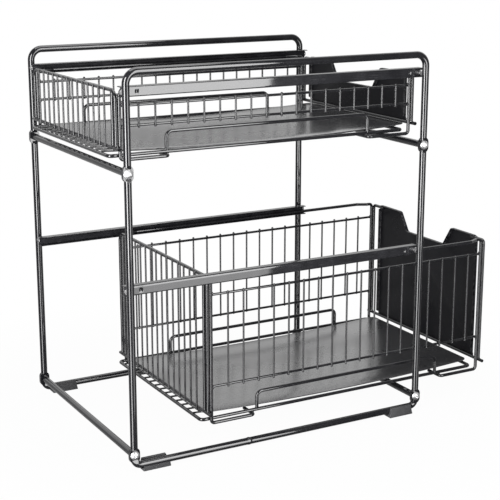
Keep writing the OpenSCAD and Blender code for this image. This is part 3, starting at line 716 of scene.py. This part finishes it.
def turned_grid(first, last, rows, columns):
    """Two arrays over a grid: a value from first to last along the rows, and the angle round the columns."""
    return np.meshgrid(np.linspace(first, last, rows), np.linspace(0, 2 * math.pi, columns, endpoint=False),
                       indexing="ij")


def bead_surface(centres, radii):
    """Weld beads: a ball r = (sin a cos b, sin a sin b, cos a) on a small grid, stretched to each bead's
    three radii with a slight lump of cos 3b round it, and moved to each centre, all as one array."""
    a, b = turned_grid(0, math.pi, BEAD_ROWS, BEAD_COLUMNS)
    lump = 1 + BEAD_LUMP * np.cos(3 * b) * np.sin(a)
    ball = np.stack([lump * np.sin(a) * np.cos(b), lump * np.sin(a) * np.sin(b), np.cos(a)], -1)
    ball = ball.reshape(-1, 3)
    points = np.asarray(centres)[:, None] + np.asarray(radii)[:, None] * ball
    quads = grid_faces(BEAD_ROWS, BEAD_COLUMNS)
    start = np.arange(len(points))[:, None, None] * len(ball)
    return points.reshape(-1, 3), (quads + start).reshape(-1, 4)


def cross_places(*axes):
    """Every combination of the given places along X, Y and Z."""
    return np.stack(np.meshgrid(*axes, indexing="ij"), -1).reshape(-1, 3)


# Radii of the weld beads along X, Y and Z, in millimetres
BACK_WIRE_BEAD = (1.7, 0.9, 1.9)
BACK_ARCH_BEAD = (2.25, 2.25, 1.1)
ROD_POST_BEAD = (2.3, 2.3, 1.2)
FLOOR_WIRE_BEAD = (1.6, 1.8, 0.8)
HOOK_BEAD = (2.3, 1.9, 0.8)
GUARD_BEAD = (2.2, 2.7, 0.9)
GRILLE_BEAD = (1.75, 1.1, 1.75)


def basket_welds(level):
    """The spot welds of one basket, found from the boxes of the wire panels that they join."""
    back_low, back_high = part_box(level + "_back_panel")
    floor_low, floor_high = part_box(level + "_floor_grid")
    front_low, front_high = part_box(level + "_front_frame")
    side_low, side_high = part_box(level + "_right_side_wire")
    grille_low, grille_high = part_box(level + "_right_grille")
    guard_low, guard_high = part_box(level + "_right_guard")
    post_x = back_high.x - ROD_STUB
    inner_x = post_x - POST_GAP
    thin_x = np.linspace(-inner_x, inner_x, BACK_WIRES + 2)[1:-1]
    back_y = back_low.y + WIRE_R
    rim_z, rod_z = back_high.z - WIRE_R, back_low.z + WIRE_R
    front_y = (front_low.y + front_high.y) / 2
    floor_z = side_low.z + 3 * WIRE_R + SEAT_GAP
    floor_x = floor_high.x - WIRE_R
    floor_ends = [floor_low.y + FLOOR_STUB, floor_high.y - WIRE_R]
    hooks = [side_low.y + WIRE_R + HOOK_LEN, side_high.y - WIRE_R - HOOK_LEN]
    rods = [grille_low.z + ROD_R, grille_high.z - ROD_R]
    ends = [grille_low.y, grille_high.y]
    guard_x = (guard_low.x + guard_high.x) / 2
    guards = [guard_low.y + WIRE_R, guard_high.y - WIRE_R]
    groups = [
        (cross_places(thin_x, [back_y + WIRE_R], [rim_z, rod_z]), BACK_WIRE_BEAD),
        (cross_places([-inner_x, inner_x], [back_y], [rim_z - WIRE_R, rod_z + WIRE_R]), BACK_ARCH_BEAD),
        (cross_places([-post_x, post_x], [back_y, front_y], [rod_z + WIRE_R]), ROD_POST_BEAD),
        (cross_places(thin_x, floor_ends, [floor_z + WIRE_R]), FLOOR_WIRE_BEAD),
        (cross_places([-floor_x, floor_x], hooks, [floor_z - WIRE_R]), HOOK_BEAD),
        (cross_places([-guard_x, guard_x], guards, [floor_z + WIRE_R]), GUARD_BEAD),
        (cross_places([-post_x, post_x], ends, rods), GRILLE_BEAD)]
    centres = np.vstack([places for places, bead in groups])
    radii = np.vstack([np.tile(bead, (len(places), 1)) for places, bead in groups]) * MM
    points, faces = bead_surface(centres, radii)
    make_piece(level + "_basket_welds", points, faces, level + "_basket", wire_paint)


FILLET_R = 1.1 * MM
FILLET_SINK = 0.3 * MM
FILLET_LUMP = 0.12
FILLET_ROWS = 5
FILLET_COLUMNS = 28


def stud_welds():
    """The weld fillets between rails and studs: a hollow quarter arc from the rail's web up to the stud's
    side, turned about the stud's axis along X, with lumps of cos 5b along the toe. A ring inside the stud
    closes each fillet."""
    low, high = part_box("rail_studs")
    places_y = [low.y + STUD_R, high.y - STUD_R]
    places_z = [low.z + STUD_R, high.z - STUD_R]
    web_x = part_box("upper_right_rail")[1].x
    a, b = turned_grid(0, math.pi / 2, FILLET_ROWS, FILLET_COLUMNS)
    reach = FILLET_R * (1 + FILLET_LUMP * np.cos(5 * b))
    radius = STUD_R + reach * (1 - np.sin(a))
    lift = reach * (1 - np.cos(a))
    arc = np.stack([lift, radius * np.cos(b), radius * np.sin(b)], -1)
    sunk, round_stud = STUD_R - FILLET_SINK, b[0]
    hidden = np.stack([0 * round_stud, sunk * np.cos(round_stud), sunk * np.sin(round_stud)], -1)
    over = hidden + [FILLET_R, 0.0, 0.0]
    ring = np.concatenate([hidden[None], arc, over[None], hidden[None]])
    points, faces = [], []
    quads = grid_faces(len(ring), FILLET_COLUMNS)
    for _, sign in SIDES:
        for place in cross_places([sign * web_x], places_y, places_z):
            faces.append(quads + sum(len(p) for p in points))
            points.append((ring * [sign, 1, 1] + place).reshape(-1, 3))
    make_piece("stud_weld_fillets", np.vstack(points), np.vstack(faces), "stand",
               rail_paint)


BAR_WELD_Y = 45 * MM
BAR_WELD_HALF = 3.2 * MM
BAR_WELD_SWELL = 0.35 * MM
BAR_WELD_SINK = 0.02 * MM
BAR_WELD_LUMPS = (0.25, 0.15)
BAR_WELD_ROWS = 13
BAR_WELD_COLUMNS = 36


def bar_weld(side):
    """The closing weld of a side frame's loop: a ring on the bottom bar that swells as cos squared along the
    bar, with lumps of two sines round it."""
    low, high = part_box(side + "_side_frame")
    axis_x = (low.x + high.x) / 2
    s, b = turned_grid(-1, 1, BAR_WELD_ROWS, BAR_WELD_COLUMNS)
    lumps = 1 + BAR_WELD_LUMPS[0] * np.sin(6 * b + 4 * s) + BAR_WELD_LUMPS[1] * np.sin(11 * b - 3 * s)
    radius = BAR_R - BAR_WELD_SINK + BAR_WELD_SWELL * np.cos(s * math.pi / 2) ** 2 * lumps
    points = np.stack([axis_x + radius * np.cos(b), BAR_WELD_Y + BAR_WELD_HALF * s,
                       BAR_Z + radius * np.sin(b)], -1)
    make_piece(side + "_bar_weld", points, closed_faces(BAR_WELD_ROWS, BAR_WELD_COLUMNS), "stand",
               bar_paint)


for tier in LEVELS:
    front_panel(tier)
    floor_tray(tier)
    basket_welds(tier)
    for hand, toward in SIDES:
        channel_rail(tier, hand, toward)
for hand, toward in SIDES:
    clip_foot("back", hand, -toward)
    clip_foot("front", hand, toward)
    bar_weld(hand)
stud_welds()


# Studio

CAMERA_PLACE = Vector((-1.31247, 0.69707, 0.5690))
CAMERA_AZIMUTH = -119.1146
CAMERA_ELEVATION = 14.1725
CAMERA_LENS = 91.524
CAMERA_SENSOR = 36.0


def photo_camera():
    """The camera at the photograph's angle, looking along its azimuth and down by its elevation."""
    turn, tip = math.radians(CAMERA_AZIMUTH), math.radians(CAMERA_ELEVATION)
    back = Vector((math.sin(turn) * math.cos(tip), -math.cos(turn) * math.cos(tip), math.sin(tip)))
    lens = bpy.data.cameras.new("photo_camera")
    lens.lens = CAMERA_LENS
    lens.sensor_width = CAMERA_SENSOR
    camera = bpy.data.objects.new("photo_camera", lens)
    camera.location = CAMERA_PLACE
    camera.rotation_euler = (-back).to_track_quat("-Z", "Y").to_euler()
    bpy.context.scene.collection.objects.link(camera)
    bpy.context.scene.camera = camera


def seen_rays(tree, *kinds):
    """One where a ray is of any of the given kinds, and zero elsewhere."""
    path = tree.nodes.new("ShaderNodeLightPath")
    seen = path.outputs[kinds[0]]
    for kind in kinds[1:]:
        seen = add_math(tree, "MAXIMUM", seen, path.outputs[kind])
    return seen


FLOOR_R = 0.52
FLOOR_RINGS = 4
FLOOR_SIDES = 64
FLOOR_GREY = (0.6, 0.6, 0.6, 1)
# The floor's share of plain white goes from the first to the second FLOOR_GLOW between the two distances of
# FLOOR_FADE from the middle.
FLOOR_FADE = (0.30, 0.50)
FLOOR_GLOW = (0.97, 1.0)


def white_floor():
    """A round pale floor, points r (cos b, sin b). Where it is seen it glows nearly white and keeps a soft
    shadow near the object, and it fades to the white of the background at its border. The glossy bars don't
    mirror it."""
    r, b = turned_grid(0, FLOOR_R, FLOOR_RINGS, FLOOR_SIDES)
    points = np.stack([r * np.cos(b), r * np.sin(b), np.zeros_like(r)], -1).reshape(-1, 3)
    mesh = bpy.data.meshes.new("studio_floor")
    mesh.from_pydata(points, [], grid_faces(FLOOR_RINGS, FLOOR_SIDES).tolist())
    finish, tree, shader, place = start_finish("Studio_floor_white", Base_Color=FLOOR_GREY, Roughness=0.9,
                                               Specular_IOR_Level=0.1)
    glow = tree.nodes.new("ShaderNodeEmission")
    length = tree.nodes.new("ShaderNodeVectorMath")
    length.operation = "LENGTH"
    tree.links.new(place, length.inputs[0])
    share = add_range(tree, length.outputs["Value"], *FLOOR_FADE, *FLOOR_GLOW)
    seen = seen_rays(tree, "Is Camera Ray", "Is Transmission Ray")
    blend = tree.nodes.new("ShaderNodeMixShader")
    tree.links.new(add_math(tree, "MULTIPLY", seen, share), blend.inputs[0])
    tree.links.new(shader.outputs[0], blend.inputs[1])
    tree.links.new(glow.outputs[0], blend.inputs[2])
    tree.links.new(blend.outputs[0], tree.nodes["Material Output"].inputs["Surface"])
    mesh.materials.append(finish)
    floor = bpy.data.objects.new("studio_floor", mesh)
    bpy.context.scene.collection.objects.link(floor)
    floor.visible_glossy = False


ROOM_LIGHT = 0.3
ROOM_DIM = 0.08
BACKDROP_LOW = 0.35
BACKDROP_HIGH = 0.95
# The backdrop brightens over BACKDROP_RISE, the upward part of a direction, and begins over BACKDROP_EDGE,
# the cosine to the way the camera faces.
BACKDROP_RISE = (0.12, 0.36)
BACKDROP_EDGE = (0.1, 0.7)


def white_world():
    """White where it is seen. In reflections the backdrop behind the object is bright, more so higher up, and
    the rest of the room is dim, by the cosine between a direction and the way the camera faces. A soft even
    light comes from all round."""
    world = bpy.data.worlds.new("Studio")
    bpy.context.scene.world = world
    world.use_nodes = True
    tree = world.node_tree
    turn = math.radians(CAMERA_AZIMUTH)
    facing = tree.nodes.new("ShaderNodeVectorMath")
    facing.operation = "DOT_PRODUCT"
    facing.inputs[1].default_value = (-math.sin(turn), math.cos(turn), 0.0)
    direction = tree.nodes.new("ShaderNodeTexCoord").outputs["Generated"]
    tree.links.new(direction, facing.inputs[0])
    split = tree.nodes.new("ShaderNodeSeparateXYZ")
    tree.links.new(direction, split.inputs[0])
    rising = add_range(tree, split.outputs["Z"], *BACKDROP_RISE, BACKDROP_LOW, BACKDROP_HIGH)
    behind = add_range(tree, facing.outputs["Value"], *BACKDROP_EDGE)
    backdrop = add_math(tree, "ADD", add_math(tree, "MULTIPLY", behind, rising), ROOM_DIM)
    mirrored = seen_rays(tree, "Is Glossy Ray")
    shown = seen_rays(tree, "Is Camera Ray", "Is Transmission Ray")
    soft = add_math(tree, "ADD", add_math(tree, "MULTIPLY", mirrored, backdrop),
                    add_math(tree, "MULTIPLY", add_math(tree, "SUBTRACT", 1.0, mirrored), ROOM_LIGHT))
    tree.links.new(add_math(tree, "MAXIMUM", shown, soft), tree.nodes["Background"].inputs["Strength"])
    tree.nodes["Background"].inputs["Color"].default_value = (1, 1, 1, 1)


def soft_box(name, place, target, width, height, power):
    """A rectangular lamp that faces a target. It lights and mirrors, and is out of the picture from every
    side."""
    lamp = bpy.data.lights.new(name, "AREA")
    lamp.shape = "RECTANGLE"
    lamp.size, lamp.size_y, lamp.energy = width, height, power
    holder = bpy.data.objects.new(name, lamp)
    holder.location = place
    holder.rotation_euler = (Vector(target) - Vector(place)).to_track_quat("-Z", "Y").to_euler()
    holder.visible_camera = False
    bpy.context.scene.collection.objects.link(holder)


STRIP_DISTANCE = 1.0
STRIP_TOP = 0.9


def round_object(degrees, distance, height):
    """A place at an angle round the object from the camera's side, seen from above, and at a height."""
    turn = math.radians(CAMERA_AZIMUTH + degrees)
    return math.sin(turn) * distance, -math.cos(turn) * distance, height


def strip_light(name, degrees, width, top_power, foot_power, foot_height):
    """A tall soft box beside the camera in two parts: a bright one above the floor's level and a dim one
    below it."""
    parts = (("top", STRIP_TOP / 2, STRIP_TOP, top_power),
             ("foot", -foot_height / 2, foot_height, foot_power))
    for part, middle, height, power in parts:
        place = round_object(degrees, STRIP_DISTANCE, middle)
        soft_box(f"{name}_{part}", place, (0, 0, middle), width, height, power)


white_floor()
photo_camera()
white_world()
strip_light("left_strip", degrees=-30, width=0.34, top_power=12.0, foot_power=3.6, foot_height=0.5)
strip_light("right_strip", degrees=43, width=0.42, top_power=7.0, foot_power=1.0, foot_height=0.3)
soft_box("overhead_box", place=(0.0, 0.0, 1.7), target=(0.0, -0.05, 0.22), width=1.2, height=1.2, power=10.0)
bpy.context.scene.view_settings.view_transform = "Standard"
